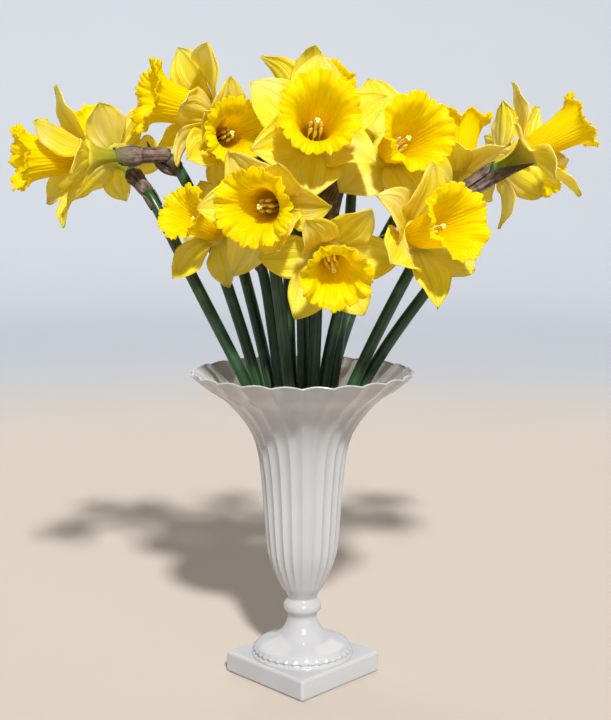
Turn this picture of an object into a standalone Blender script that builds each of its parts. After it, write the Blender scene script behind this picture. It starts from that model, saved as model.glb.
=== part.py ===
"""A white fluted trumpet vase that holds fourteen cut trumpet daffodils in water.

Metres, +Z up. The origin is the centre of the plinth's underside. The vase stands on a square
plinth whose corner points to the front, -Y. Each daffodil is four pieces: the green stem with its
ovary, the papery spathe round its neck, the six tepals on their tube, and the frilled corona.
"""
import math

import bmesh
import bpy
from mathutils import Vector

UP = Vector((0.0, 0.0, 1.0))
GAP = 0.0003                # clearance between pieces that touch
WELD = 0.000004             # points closer than this are one
SHARP = 40.0                # degrees; a sharper edge isn't shaded smooth

# ---- vase -----------------------------------------------------------------------------------
PLINTH_SIDE = 0.0647
PLINTH_HEIGHT = 0.0124
PLINTH_BEVEL = 0.0018
RIM_RADIUS = 0.0645
VASE_HEIGHT = 0.180
FLUTES = 24
POINTS_PER_FLUTE = 2
RIM_WAVE = 0.0011           # the rim is this much higher in the middle of a flute
FLOOR_HEIGHT = 0.0595       # inside bottom of the bowl
FLOOR_RADIUS = 0.0100

# turned foot: (height, radius) from the plinth up to the collar
FOOT_PROFILE = (
    (0.0110, 0.0295), (0.0138, 0.0298), (0.0156, 0.0290), (0.0178, 0.0270), (0.0192, 0.0244),
    (0.0224, 0.0170), (0.0264, 0.0122), (0.0312, 0.0094), (0.0355, 0.0085), (0.0382, 0.0106),
    (0.0410, 0.0112), (0.0438, 0.0106), (0.0454, 0.0088),
)
FOOT_SIDES = 24

# fluted bowl: (height, outer radius at the arrises, wall, depth of the flutes)
BOWL_PROFILE = (
    (0.0466, 0.0084, 0.0, 0.0), (0.0550, 0.0134, 0.0032, 0.0002),
    (0.0695, 0.0194, 0.0032, 0.0009), (0.0840, 0.0216, 0.0031, 0.0010),
    (0.1135, 0.0237, 0.0030, 0.0010), (0.1350, 0.0264, 0.0026, 0.0011), (0.1493, 0.0320, 0.0021, 0.0012),
    (0.1636, 0.0434, 0.0017, 0.0013), (0.1720, 0.0552, 0.0014, 0.0013),
    (VASE_HEIGHT, RIM_RADIUS, 0.0013, 0.0013),
)
FIRST_INNER_ROW = 2         # the inside wall starts at this row of the profile

# ---- water ----------------------------------------------------------------------------------
WATER_LEVEL = 0.105
WATER_ROW = 3               # the water's surface lies between this row of the profile and the next
WATER_GAP = 0.00045         # clearance between the water and the bowl's wall
WATER_SIDES = 24
STEM_PITCH = 0.0071         # spacing of the stems where they crowd in the throat
THROAT_HEIGHT = 0.106
STEM_RADIUS = 0.0032
INNER_FOOT = 0.066          # heights of the stems' cut ends, wedged where the bowl tapers
MIDDLE_FOOT = 0.080
OUTER_FOOT = 0.0985
MIDDLE_REACH = 1.2          # in pitches from the axis: a stem seated further out ends higher up
OUTER_REACH = 1.9
HOLE_RADIUS = 0.0037        # over half the pitch, so the holes merge round the bunch
HOLE_SIDES = 12
BUNCH_RADIUS = 1.58 * STEM_PITCH    # of the one hole that holds the seven inner stems
BUNCH_SIDES = 18
BEYOND = 0.010              # how far a cutter passes the water's surface

# ---- flower, at size 1 ----------------------------------------------------------------------
TEPAL_START = 0.0072        # radius at which a tepal leaves the tube
TEPAL_LENGTH = 0.0372
TEPAL_THICKNESS = 0.0008
TEPAL_TIP = 0.0005          # half-width of its tip
OUTER_WIDTH = 0.0250
INNER_WIDTH = 0.0230
OUTER_DROP = 0.0015         # the outer three tepals leave the tube lower down
INNER_DROP = 0.0004
TEPAL_CURL = 18.0           # degrees that a tepal bends back from base to tip
TEPAL_BASE_WIDTH = 0.32     # as a share of the greatest width
TEPAL_FULLNESS = 1.15       # over 1, because the point narrows it
TEPAL_BROADEST = 0.55       # as a share of the length
TEPAL_POINT = 2.9           # a higher power makes a blunter tip
TEPAL_WAVE = 0.0009         # height of the waves along its edges
OUTER_CUP = 0.0005          # height of a tepal's edges over its midrib
INNER_CUP = 0.0022
TEPAL_ROWS = (0.0, 0.22, 0.50, 0.78, 1.0)
TUBE_PROFILE = ((-0.0190, 0.0035), (-0.0100, 0.0048), (-0.0028, 0.0104), (0.0, 0.0106))

CORONA_LENGTH = 0.0395
CORONA_BASE = 0.0068
CORONA_SEAT = 0.0004        # gap between the tube's face and the corona
CORONA_WALL = 0.0008
CORONA_LOBES = 16
FRILL_OUT = 0.0013          # the lobes of the mouth swing out and back by this much
FRILL_BACK = 0.0014
COLUMN_FOOT = 0.06          # the column of stamens and style, as shares of the corona's length
STAMEN_TOP = 0.50
STYLE_TOP = 0.64
STAMEN_RADIUS = 0.0026
STYLE_RADIUS = 0.0010

OVARY = ((-0.0340, 0.0028), (-0.0270, 0.0043), (-0.0193, 0.0033))   # (along the axis, radius)
NECK = 0.046                # from the flower's centre back to where its neck bends
STEM_STATIONS = (0.18, 0.38, 0.58, 0.74, 0.85, 0.93, 1.0)   # shares of the way from seat to neck
RISE_PULL = 0.9             # how strongly a stem rises straight up, as a share of its reach
NECK_PULL = 0.055           # how strongly it turns into the neck
STEM_SWELL = 0.06           # it is thickest halfway, by this share
STEM_TAPER = 0.0006         # and thinner at the neck by this
SPATHE_THICKNESS = 0.0008
SPATHE_SPREAD = (98, 92, 80, 55, 12)        # degrees it wraps to each side, from base to tip
SPATHE_TIP = 0.6            # its tip, as a share of the way along the ovary's last part
SPATHE_GAP = 0.0005         # clearance between the stem and the spathe

# Layout, one row a flower: place of the centre where the tepals meet; azimuth and elevation that
# it faces (azimuth 0 is the front, 90 the right side); roll; size; the stem's seat in the throat
# (hexagonal cell); the stem's sideways bow in mm; the lean of its six tepals from the axis.
LAYOUT = (
    ((-0.119, -0.019, 0.302), -66, -2, 43, 0.97, (-2, 0), (-3, 4), (36, 64, 56, 60, 60, 60)),
    ((-0.109, 0.025, 0.304), -141, 31, 0, 0.85, (-1, -1), (-5, -2), (85, 87, 85, 85, 80, 88)),
    ((-0.053, 0.009, 0.327), -70, 14, -5, 1.00, (-1, 1), (-7, 6), (47, 62, 55, 58, 58, 58)),
    ((-0.0438, -0.0060, 0.3135), 17, 3, 30, 0.84, (-2, 1), (1, 3), (43, 49, 30, 51, 94, 98)),
    ((-0.048, -0.018, 0.261), -39, 24, 0, 0.78, (-1, 0), (-2, -2), (106, 69, 74, 101, 82, 102)),
    ((-0.016, -0.044, 0.276), -14, -2, 0, 0.97, (0, 0), (1, -1), (56, 33, 42, 49, 84, 35)),
    ((0.006, -0.031, 0.313), 5, 15, 25, 1.00, (0, 1), (1, 2), (73, 76, 72, 53, 62, 52)),
    ((0.000, 0.023, 0.330), 146, 26, 56, 0.90, (0, -1), (2, -6), (76, 78, 90, 85, 80, 80)),
    ((0.048, -0.012, 0.305), 22, 15, 35, 1.00, (1, 1), (6, 0), (90, 98, 92, 80, 66, 90)),
    ((0.090, 0.018, 0.293), 161, 78, 30, 0.91, (2, 0), (-4, 2), (80, 64, 66, 52, 70, 69)),
    ((0.127, -0.005, 0.306), 85, 30, 34, 0.88, (2, -1), (3, 0), (60, 74, 102, 82, 68, 60)),
    ((0.124, 0.072, 0.300), 112, -2, 30, 0.90, (0, 2), (-4, 4), (80, 90, 80, 66, 84, 96)),
    ((0.060, -0.043, 0.260), 34, 13, 30, 0.97, (1, 0), (-2, -1), (80, 45, 58, 60, 72, 90)),
    ((0.014, -0.045, 0.250), 7, -20, 0, 0.88, (1, -1), (2, -4), (84, 66, 48, 77, 70, 72)),
)


# ---- helpers --------------------------------------------------------------------------------
def clear_scene():
    for obj in list(bpy.data.objects):
        bpy.data.objects.remove(obj, do_unlink=True)


def material(name, colour, roughness, transmission=0.0):
    mat = bpy.data.materials.new(name)
    mat.use_nodes = True
    bsdf = mat.node_tree.nodes["Principled BSDF"]
    bsdf.inputs["Base Color"].default_value = (*colour, 1.0)
    bsdf.inputs["Roughness"].default_value = roughness
    bsdf.inputs["Metallic"].default_value = 0.0
    bsdf.inputs["Transmission Weight"].default_value = transmission
    return mat


def mesh_object(name, points, faces, mat):
    mesh = bpy.data.meshes.new(name)
    mesh.from_pydata([tuple(p) for p in points], [], faces)
    mesh.materials.append(mat)
    mesh.shade_smooth()
    mesh.set_sharp_from_angle(angle=math.radians(SHARP))
    obj = bpy.data.objects.new(name, mesh)
    bpy.context.scene.collection.objects.link(obj)
    return obj


def bridge(lower, upper):
    """Faces between two rings of indices that run the same way round, at any two counts.

    A band reads alike from either ring, so the inner and outer faces of a thin wall never cross.
    """
    if len(lower) > len(upper):
        return [face[::-1] for face in bridge(upper, lower)]
    faces = []
    if len(lower) == len(upper):
        for k in range(len(lower)):
            after = (k + 1) % len(lower)
            faces.append((lower[k], lower[after], upper[after], upper[k]))
        return faces
    i = j = 0
    while i < len(lower) or j < len(upper):
        a, b = lower[i % len(lower)], upper[j % len(upper)]
        if j == len(upper) or (i < len(lower) and (i + 1) * len(upper) <= (j + 1) * len(lower)):
            faces.append((a, lower[(i + 1) % len(lower)], b))
            i += 1
        else:
            faces.append((a, upper[(j + 1) % len(upper)], b))
            j += 1
    return faces


def skin(rings):
    """Points and faces of a closed tube over rings that run anticlockwise seen from the last."""
    points = []
    index = []
    for ring in rings:
        index.append(list(range(len(points), len(points) + len(ring))))
        points.extend(ring)
    faces = []
    for lower, upper in zip(index, index[1:]):
        faces.extend(bridge(lower, upper))
    faces.append(tuple(reversed(index[0])))
    faces.append(tuple(index[-1]))
    return points, faces


def circle(radius, height, sides):
    steps = (2 * math.pi * k / sides - math.pi / 2 for k in range(sides))
    return [Vector((radius * math.cos(a), radius * math.sin(a), height)) for a in steps]


def unite(target, pieces):
    """Boolean union of the pieces into the target, applied, with the pieces removed."""
    group = bpy.data.collections.new(target.name + "_pieces")
    for piece in pieces:
        group.objects.link(piece)
    union = target.modifiers.new("union", "BOOLEAN")
    union.operation = "UNION"
    union.operand_type = "COLLECTION"
    union.collection = group
    union.solver = "EXACT"
    apply_as_mesh(target)
    for piece in pieces:
        bpy.data.objects.remove(piece, do_unlink=True)
    bpy.data.collections.remove(group)


def cut(target, cutter):
    """Boolean difference, applied, with the cutter removed."""
    hole = target.modifiers.new("hole", "BOOLEAN")
    hole.operation = "DIFFERENCE"
    hole.object = cutter
    hole.solver = "EXACT"
    apply_as_mesh(target)
    bpy.data.objects.remove(cutter, do_unlink=True)


def apply_as_mesh(obj):
    """Replace an object by its evaluated mesh, as welded triangles with no slivers."""
    graph = bpy.context.evaluated_depsgraph_get()
    mesh = bpy.data.meshes.new_from_object(obj.evaluated_get(graph))
    work = bmesh.new()
    work.from_mesh(mesh)
    bmesh.ops.remove_doubles(work, verts=work.verts, dist=WELD)
    bmesh.ops.triangulate(work, faces=work.faces)
    bmesh.ops.dissolve_degenerate(work, edges=work.edges, dist=WELD)
    bmesh.ops.triangulate(work, faces=work.faces)
    work.to_mesh(mesh)
    work.free()
    mesh.shade_smooth()
    mesh.set_sharp_from_angle(angle=math.radians(SHARP))
    if obj.type == "MESH":
        obj.modifiers.clear()
        obj.data = mesh
        return
    name, curve = obj.name, obj.data
    bpy.data.objects.remove(obj, do_unlink=True)
    bpy.data.curves.remove(curve)
    bpy.context.scene.collection.objects.link(bpy.data.objects.new(name, mesh))


# ---- vase and water -------------------------------------------------------------------------
def flute_ring(height, radius, depth, lift=0.0):
    """One ring of the bowl: sharp arrises with a hollow between them, an arris at the front."""
    count = FLUTES * POINTS_PER_FLUTE
    ring = []
    for k in range(count):
        angle = 2 * math.pi * k / count - math.pi / 2
        hollow = abs(math.sin(FLUTES / 2 * (angle + math.pi / 2)))
        r = radius - depth * hollow
        ring.append(Vector((r * math.cos(angle), r * math.sin(angle), height + lift * hollow)))
    return ring


def vase_body(mat):
    """Turned foot, fluted bowl and its inside, in one skin."""
    rings = [circle(r, z, FOOT_SIDES) for z, r in FOOT_PROFILE]
    outside = [flute_ring(z, r, depth, RIM_WAVE if z == VASE_HEIGHT else 0.0)
               for z, r, wall, depth in BOWL_PROFILE]
    inside = [flute_ring(z, r - wall, depth, RIM_WAVE if z == VASE_HEIGHT else 0.0)
              for z, r, wall, depth in BOWL_PROFILE[FIRST_INNER_ROW:]]
    rings.extend(outside + inside[::-1])
    rings.append(circle(FLOOR_RADIUS, FLOOR_HEIGHT, FLUTES))
    return mesh_object("vase", *skin(rings), mat)


def plinth(mat):
    half = PLINTH_SIDE / math.sqrt(2)
    corners = [Vector((half * math.cos(a), half * math.sin(a), 0.0))
               for a in (math.pi / 2 * k for k in range(4))]
    rings = [corners, [c + UP * PLINTH_HEIGHT for c in corners]]
    block = mesh_object("plinth", *skin(rings), mat)
    edge = block.modifiers.new("soft edges", "BEVEL")
    edge.width = PLINTH_BEVEL
    edge.segments = 2
    apply_as_mesh(block)
    return block


def make_vase(mat):
    unite(vase_body(mat), [plinth(mat)])


def throat_seat(cell):
    i, j = cell
    return Vector((STEM_PITCH * (i + j / 2), STEM_PITCH * j * math.sqrt(3) / 2, THROAT_HEIGHT))


def stem_foot(cell):
    """Cut end of a stem, at the depth where the tapering bowl stops it."""
    reach = throat_seat(cell).xy.length / STEM_PITCH
    if reach < MIDDLE_REACH:
        return INNER_FOOT
    return MIDDLE_FOOT if reach < OUTER_REACH else OUTER_FOOT


def make_water(mat):
    """Water between the bowl and the bunch, with plain holes where the stems stand."""
    rings = [circle(FLOOR_RADIUS - GAP, FLOOR_HEIGHT + GAP, WATER_SIDES)]
    for z, r, wall, depth in BOWL_PROFILE[FIRST_INNER_ROW:]:
        if z < WATER_LEVEL:
            rings.append(circle(r - wall - depth - WATER_GAP, z + GAP, WATER_SIDES))
    z0, r0, wall0, depth0 = BOWL_PROFILE[WATER_ROW]
    z1, r1, wall1, depth1 = BOWL_PROFILE[WATER_ROW + 1]
    share = (WATER_LEVEL - z0) / (z1 - z0)
    top_radius = (r0 - wall0) * (1 - share) + (r1 - wall1) * share
    rings.append(circle(top_radius - depth0 - WATER_GAP, WATER_LEVEL, WATER_SIDES))
    water = mesh_object("water", *skin(rings), mat)
    middle = [circle(BUNCH_RADIUS, z, BUNCH_SIDES) for z in (INNER_FOOT - GAP, WATER_LEVEL + BEYOND)]
    hole = mesh_object("hole", *skin(middle), mat)
    outer_holes = []
    for row in LAYOUT:
        seat = throat_seat(row[5])
        if stem_foot(row[5]) > INNER_FOOT:
            rings = [[p + Vector((seat.x, seat.y, 0.0)) for p in circle(HOLE_RADIUS, z, HOLE_SIDES)]
                     for z in (stem_foot(row[5]) - GAP, WATER_LEVEL + BEYOND)]
            outer_holes.append(mesh_object("hole", *skin(rings), mat))
    unite(hole, outer_holes)
    cut(water, hole)


# ---- flower ---------------------------------------------------------------------------------
class Flower:
    """Place, facing and pose of one daffodil, with its own axes: across, over and axis."""

    def __init__(self, row):
        place, azimuth, elevation, roll, self.size, self.cell, bow, self.leans = row
        az, el = math.radians(azimuth), math.radians(elevation)
        self.centre = Vector(place)
        self.roll = roll
        self.bow = Vector((*bow, 0.0)) / 1000
        self.axis = Vector((math.sin(az) * math.cos(el), -math.cos(az) * math.cos(el), math.sin(el)))
        self.over = (UP - self.axis * UP.dot(self.axis)).normalized()
        self.across = self.over.cross(self.axis)

    def spoke(self, angle):
        return math.cos(angle) * self.across + math.sin(angle) * self.over

    def ring(self, radius, height, sides, wave=None, turn=0.0):
        """Ring round the axis; wave(angle) adds to the radius and the height."""
        ring = []
        for k in range(sides):
            angle = 2 * math.pi * k / sides + turn
            more_r, more_h = wave(angle) if wave else (0.0, 0.0)
            point = (radius + more_r) * self.spoke(angle) + (height + more_h) * self.axis
            ring.append(self.centre + self.size * point)
        return ring

    def on_axis(self, height):
        return self.centre + self.axis * (height * self.size)


def tepal_outline(t):
    """Half-width of a tepal as a share of its greatest: broad, then pointed."""
    swell = math.sin(math.pi / 2 * min(t / TEPAL_BROADEST, 1.0))
    return (1 - t ** TEPAL_POINT) * (TEPAL_BASE_WIDTH + (TEPAL_FULLNESS - TEPAL_BASE_WIDTH) * swell)


def tepal_point(flower, k, t, u, side_offset):
    """Point of tepal k at t along it and u across it, offset along its normal."""
    outer = k % 2 == 1
    size = flower.size
    angle = math.radians(flower.roll + 60 * k)
    spoke = flower.spoke(angle)
    beside = -math.sin(angle) * flower.across + math.cos(angle) * flower.over
    start = math.radians(flower.leans[k] - TEPAL_CURL / 2)
    bend = math.radians(TEPAL_CURL)
    lean = start + bend * t
    # the midrib is an arc that turns by the curl
    out = TEPAL_START + TEPAL_LENGTH * (math.cos(start) - math.cos(lean)) / bend
    along = TEPAL_LENGTH * (math.sin(lean) - math.sin(start)) / bend
    along -= OUTER_DROP if outer else INNER_DROP
    normal = -math.cos(lean) * spoke + math.sin(lean) * flower.axis
    half = 0.5 * (OUTER_WIDTH if outer else INNER_WIDTH) * tepal_outline(t) + TEPAL_TIP
    cup = (OUTER_CUP if outer else INNER_CUP) * math.sin(math.pi * min(1.1 * t, 1.0)) ** 0.8 * u * u
    wave = TEPAL_WAVE * math.sin(7.5 * t + 0.1 * flower.roll + 1.7 * k) * min(2 * t, 1.0) * u * abs(u)
    point = out * spoke + along * flower.axis + u * half * beside + (cup + wave) * normal
    return flower.centre + size * point + side_offset * normal


def tepal(flower, k, mat):
    """One tepal: a thin waved blade, split into triangles alike on both faces."""
    half = TEPAL_THICKNESS / 2
    points = []
    for t in TEPAL_ROWS[:-1]:
        points.extend(tepal_point(flower, k, t, u, half) for u in (-1, 0, 1))
        points.extend(tepal_point(flower, k, t, u, -half) for u in (1, 0, -1))
    points.extend(tepal_point(flower, k, 1.0, 0, side) for side in (half, -half))
    faces = [(0, 1, 5), (1, 4, 5), (1, 2, 4), (2, 3, 4)]
    last = 6 * (len(TEPAL_ROWS) - 2)
    for low in range(0, last, 6):
        for j in range(6):
            a, b = low + j, low + (j + 1) % 6
            c, d = b + 6, a + 6
            # the diagonals of the back face mirror those of the front face
            faces.extend(((a, c, b), (a, d, c)) if j < 3 else ((a, d, b), (b, d, c)))
    front, back = last + 6, last + 7
    for j, tip in ((0, front), (1, front), (3, back), (4, back)):
        faces.append((last + j, tip, last + j + 1))
    faces.extend(((last + 2, front, last + 3), (front, back, last + 3)))
    faces.extend(((last + 5, back, last), (back, front, last)))
    return mesh_object("tepal", points, faces, mat)


def make_tepals(name, flower, mat):
    """The six-sided floral tube with a tepal joined to each side."""
    turn = math.radians(flower.roll + 30)
    rings = [flower.ring(r, z, 6, turn=turn) for z, r in TUBE_PROFILE]
    tube = mesh_object(name, *skin(rings), mat)
    unite(tube, [tepal(flower, k, mat) for k in range(6)])


def corona_radius(s):
    """Radius of the corona at a share s of its length: a tube that flares at the mouth."""
    return CORONA_BASE + 0.0064 * s ** 0.8 + 0.0093 * s ** 6


def make_corona(name, flower, mat):
    """Frilled cup, with the ring of stamens and the style standing in it."""
    def frill(angle):
        lobe = math.cos(CORONA_LOBES * angle)
        return FRILL_OUT * lobe, -FRILL_BACK * lobe

    def ring(s, sides, inset=0.0, wave=None):
        height = CORONA_SEAT + CORONA_LENGTH * s
        return flower.ring(corona_radius(s) - inset, height, sides, wave)

    lobes = 2 * CORONA_LOBES
    outside = [ring(0.0, 12), ring(0.38, 12), ring(0.74, CORONA_LOBES), ring(1.0, lobes, 0.0, frill)]
    inside = [ring(1.0, lobes, CORONA_WALL, frill), ring(0.76, CORONA_LOBES, 1.5 * CORONA_WALL),
              ring(0.38, 12, 1.4 * CORONA_WALL), ring(COLUMN_FOOT, 12, 1.4 * CORONA_WALL)]
    column = [flower.ring(STAMEN_RADIUS, CORONA_LENGTH * COLUMN_FOOT, 6),
              flower.ring(STAMEN_RADIUS, CORONA_LENGTH * STAMEN_TOP, 6),
              flower.ring(STYLE_RADIUS, CORONA_LENGTH * STYLE_TOP, 6)]
    mesh_object(name, *skin(outside + inside + column), mat)


def neck_path(flower):
    """Stem centreline from its cut end in the water to the ovary, as (point, radius)."""
    seat = throat_seat(flower.cell)
    bend = flower.on_axis(-NECK)
    reach = (bend - seat).length
    path = [(Vector((seat.x, seat.y, stem_foot(flower.cell))), STEM_RADIUS), (seat, STEM_RADIUS)]
    start, end = UP * reach * RISE_PULL, flower.axis * NECK_PULL
    for u in STEM_STATIONS:
        point = (seat * (2 * u**3 - 3 * u**2 + 1) + start * (u**3 - 2 * u**2 + u)
                 + bend * (3 * u**2 - 2 * u**3) + end * (u**3 - u**2))
        point += flower.bow * math.sin(math.pi * u) ** 2
        path.append((point, STEM_RADIUS * (1 + STEM_SWELL * math.sin(math.pi * u)) - STEM_TAPER * u**4))
    path.extend((flower.on_axis(z), r * flower.size) for z, r in OVARY)
    return path


def make_stem(name, flower, mat):
    """Scape, neck and ovary: a tapering tube along the neck path."""
    path = neck_path(flower)
    curve = bpy.data.curves.new(name, "CURVE")
    curve.dimensions = "3D"
    curve.bevel_depth = 1.0
    curve.bevel_resolution = 1
    curve.use_fill_caps = True
    spline = curve.splines.new("POLY")
    spline.points.add(len(path) - 1)
    for spot, (point, radius) in zip(spline.points, path):
        spot.co = (*point, 1.0)
        spot.radius = radius
    curve.materials.append(mat)
    obj = bpy.data.objects.new(name, curve)
    bpy.context.scene.collection.objects.link(obj)
    apply_as_mesh(obj)


def make_spathe(name, flower, mat):
    """Withered sheath: a pointed half-open trough on the outer side of the bent neck."""
    path = neck_path(flower)
    points = [p for p, r in path]
    tip = points[-2].lerp(points[-1], SPATHE_TIP)
    tip_radius = path[-2][1] * (1 - SPATHE_TIP) + path[-1][1] * SPATHE_TIP
    outward = points[-4] - (points[-2] + points[-6]) / 2
    stations = [(points[k], path[k][1], points[k + 1] - points[k - 1]) for k in (-5, -4, -3, -2)]
    stations.append((tip, tip_radius, points[-1] - points[-2]))
    rings = []
    for (centre, radius, along), spread in zip(stations, SPATHE_SPREAD):
        along = along.normalized()
        normal = (outward - along * outward.dot(along)).normalized()
        beside = along.cross(normal)
        step = math.radians(spread) * 2 / 3
        inner = radius / math.cos(step / 2) + SPATHE_GAP
        turns = [step * (k - 1.5) for k in range(4)]
        shell = []
        for r, order in ((inner + SPATHE_THICKNESS, turns), (inner, turns[::-1])):
            shell.extend(centre + r * (math.cos(a) * normal + math.sin(a) * beside) for a in order)
        rings.append(shell)
    mesh_object(name, *skin(rings), mat)


def main():
    clear_scene()
    make_vase(material("white glaze", (0.80, 0.80, 0.81), 0.12))
    make_water(material("water", (0.90, 0.95, 0.95), 0.02, 0.9))
    green = material("stem green", (0.05, 0.13, 0.06), 0.45)
    papery = material("spathe brown", (0.22, 0.15, 0.10), 0.70)
    pale = material("tepal yellow", (0.84, 0.66, 0.05), 0.50)
    deep = material("corona yellow", (0.90, 0.60, 0.01), 0.50)
    for number, row in enumerate(LAYOUT, start=1):
        flower = Flower(row)
        name = f"flower_{number:02d}"
        make_stem(name + "_stem", flower, green)
        make_spathe(name + "_spathe", flower, papery)
        make_tepals(name + "_tepals", flower, pale)
        make_corona(name + "_corona", flower, deep)


main()
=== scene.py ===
"""Looks of the vase of daffodils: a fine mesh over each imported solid, materials, light and camera.

Metres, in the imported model's frame: +Z up, -Y the front. Sizes repeat those of the solids.
"""

import math
import random

import bpy
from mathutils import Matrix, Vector, noise


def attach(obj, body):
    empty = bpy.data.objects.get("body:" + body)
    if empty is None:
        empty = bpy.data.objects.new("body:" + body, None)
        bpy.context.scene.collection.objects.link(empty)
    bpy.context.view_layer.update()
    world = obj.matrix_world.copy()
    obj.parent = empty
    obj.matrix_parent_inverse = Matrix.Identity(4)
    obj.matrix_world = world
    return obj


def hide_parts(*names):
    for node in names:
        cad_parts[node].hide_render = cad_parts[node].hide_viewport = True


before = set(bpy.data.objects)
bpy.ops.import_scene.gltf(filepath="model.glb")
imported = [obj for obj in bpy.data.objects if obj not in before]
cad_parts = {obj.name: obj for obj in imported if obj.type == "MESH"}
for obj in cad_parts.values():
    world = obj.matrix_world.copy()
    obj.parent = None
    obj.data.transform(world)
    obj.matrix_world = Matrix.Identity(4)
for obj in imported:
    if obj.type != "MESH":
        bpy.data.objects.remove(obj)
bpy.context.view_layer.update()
UP = Vector((0.0, 0.0, 1.0))

# ---- vase, as in the solids -----------------------------------------------------------------
PLINTH_SIDE = 0.0647
PLINTH_HEIGHT = 0.0124
PLINTH_BEVEL = 0.0018
RIM_RADIUS = 0.0645
VASE_HEIGHT = 0.180
FLUTES = 24
RIM_WAVE = 0.0011
FLOOR_HEIGHT = 0.0595
FLOOR_RADIUS = 0.0100
COLUMNS = FLUTES * 12

# turned foot: (height, radius), up from a plain ring by a scalloped edge, a dome, a neck and a collar
FOOT_PROFILE = (
    (0.0118, 0.0297), (0.0126, 0.0301), (0.0133, 0.0298), (0.0138, 0.0291), (0.0144, 0.0290),
    (0.0151, 0.0295), (0.0159, 0.0294), (0.0168, 0.0285), (0.0179, 0.0271), (0.0190, 0.0252),
    (0.0204, 0.0216), (0.0224, 0.0172), (0.0249, 0.0137), (0.0280, 0.0112), (0.0318, 0.0093),
    (0.0352, 0.0085), (0.0376, 0.0098), (0.0392, 0.0109), (0.0410, 0.0112), (0.0428, 0.0109),
    (0.0443, 0.0098), (0.0456, 0.0087),
)
# fluted bowl: (height, outer radius at the arrises, wall, depth of the flutes)
BOWL_PROFILE = (
    (0.0466, 0.0086, 0.0, 0.0), (0.0490, 0.0098, 0.0030, 0.0),
    (0.0550, 0.0134, 0.0032, 0.0002), (0.0695, 0.0194, 0.0032, 0.0009),
    (0.0840, 0.0216, 0.0031, 0.0010), (0.1135, 0.0237, 0.0030, 0.0010),
    (0.1350, 0.0264, 0.0026, 0.0011), (0.1493, 0.0320, 0.0021, 0.0012),
    (0.1636, 0.0434, 0.0017, 0.0013), (0.1720, 0.0552, 0.0014, 0.0013),
    (VASE_HEIGHT, RIM_RADIUS, 0.0013, 0.0013),
)
RIM_WAVE_START = 0.165      # height from which the flutes lift towards the wavy rim
FLOOR_CLEARANCE = 0.002     # the inside wall ends this far above the bowl's floor
FLOOR_RINGS = (1.0, 0.66, 0.33, 0.01)   # radii of the floor's rings, as shares of its own
GADROONS = 36               # small scallops round the lower edge of the foot's dome
GADROON_DEPTH = 0.0009
GADROON_START = (0.0132, 0.0144)        # heights between which they deepen
GADROON_END = (0.0158, 0.0178)          # heights between which they fade

# ---- stems and water ------------------------------------------------------------------------
STEM_PITCH = 0.0071         # spacing of the stems where they crowd in the throat
THROAT_HEIGHT = 0.106
STEM_RADIUS = 0.0032
INNER_FOOT = 0.066          # heights of the stems' cut ends, wedged where the bowl tapers
MIDDLE_FOOT = 0.080
OUTER_FOOT = 0.0985
MIDDLE_REACH = 1.2          # a seat this many pitches from the axis is a middle one
OUTER_REACH = 1.9           # and one this far out is an outer one
RISE_PULL = 0.9             # how strongly a stem starts upright, as a share of its run
NECK_PULL = 0.055           # how strongly it turns into the neck
STEM_SWELL = 0.06           # share by which it is thicker half way
STEM_TAPER = 0.0006         # how much thinner it gets at the top
STEM_STEPS = 44             # points along it between the throat and the neck
NECK = 0.046                # from the flower's centre back to where its neck bends
NECK_END = (-0.040, 0.0027)             # place on the flower's axis and radius, under the ovary
# ovary: (place on the flower's axis, radius)
OVARY = (
    (-0.0340, 0.0028), (-0.0310, 0.0036), (-0.0270, 0.0043), (-0.0230, 0.0042), (-0.0193, 0.0034),
)

# ---- flower, at size 1 ----------------------------------------------------------------------
TEPAL_START = 0.0072        # from the flower's axis to a tepal's root
TEPAL_LENGTH = 0.0372
OUTER_WIDTH = 0.0290        # the three outer tepals are broader and sit lower
INNER_WIDTH = 0.0260
OUTER_DROP = 0.0015
INNER_DROP = 0.0004
TEPAL_CURL = 18.0           # degrees by which a tepal arches back over its length
TEPAL_BASE_WIDTH = 0.32     # its outline, as shares of its width: at the root
TEPAL_FULLNESS = 1.15       # and where it is broadest
TEPAL_BROADEST = 0.55       # place of the broadest part, as a share of its length
TEPAL_POINT = 3.4           # the higher, the later it narrows to its point
TEPAL_EDGE = 0.0003         # least half-width, at its tip
# floral tube: (place on the flower's axis, radius)
TUBE_PROFILE = (
    (-0.0190, 0.0035), (-0.0150, 0.0037), (-0.0100, 0.0047), (-0.0060, 0.0068), (-0.0028, 0.0096),
    (-0.0008, 0.0108), (0.0002, 0.0098), (0.0004, 0.0072),
)
CORONA_LENGTH = 0.0395
CORONA_BASE = 0.0068        # its radius at its seat
CORONA_WIDENING = 0.0060    # how much wider it gets steadily
CORONA_FLARE = 0.0108       # and how much its mouth flares
CORONA_SEAT = 0.0004
# the throat below the corona's seat: (place on the flower's axis, radius)
THROAT_PROFILE = ((-0.0160, 0.0026), (-0.0100, 0.0038), (-0.0040, 0.0056))
FILAMENT_RADIUS = 0.0004
ANTHER_RADIUS = 0.0010      # and that of the stigma's lobes

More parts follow.
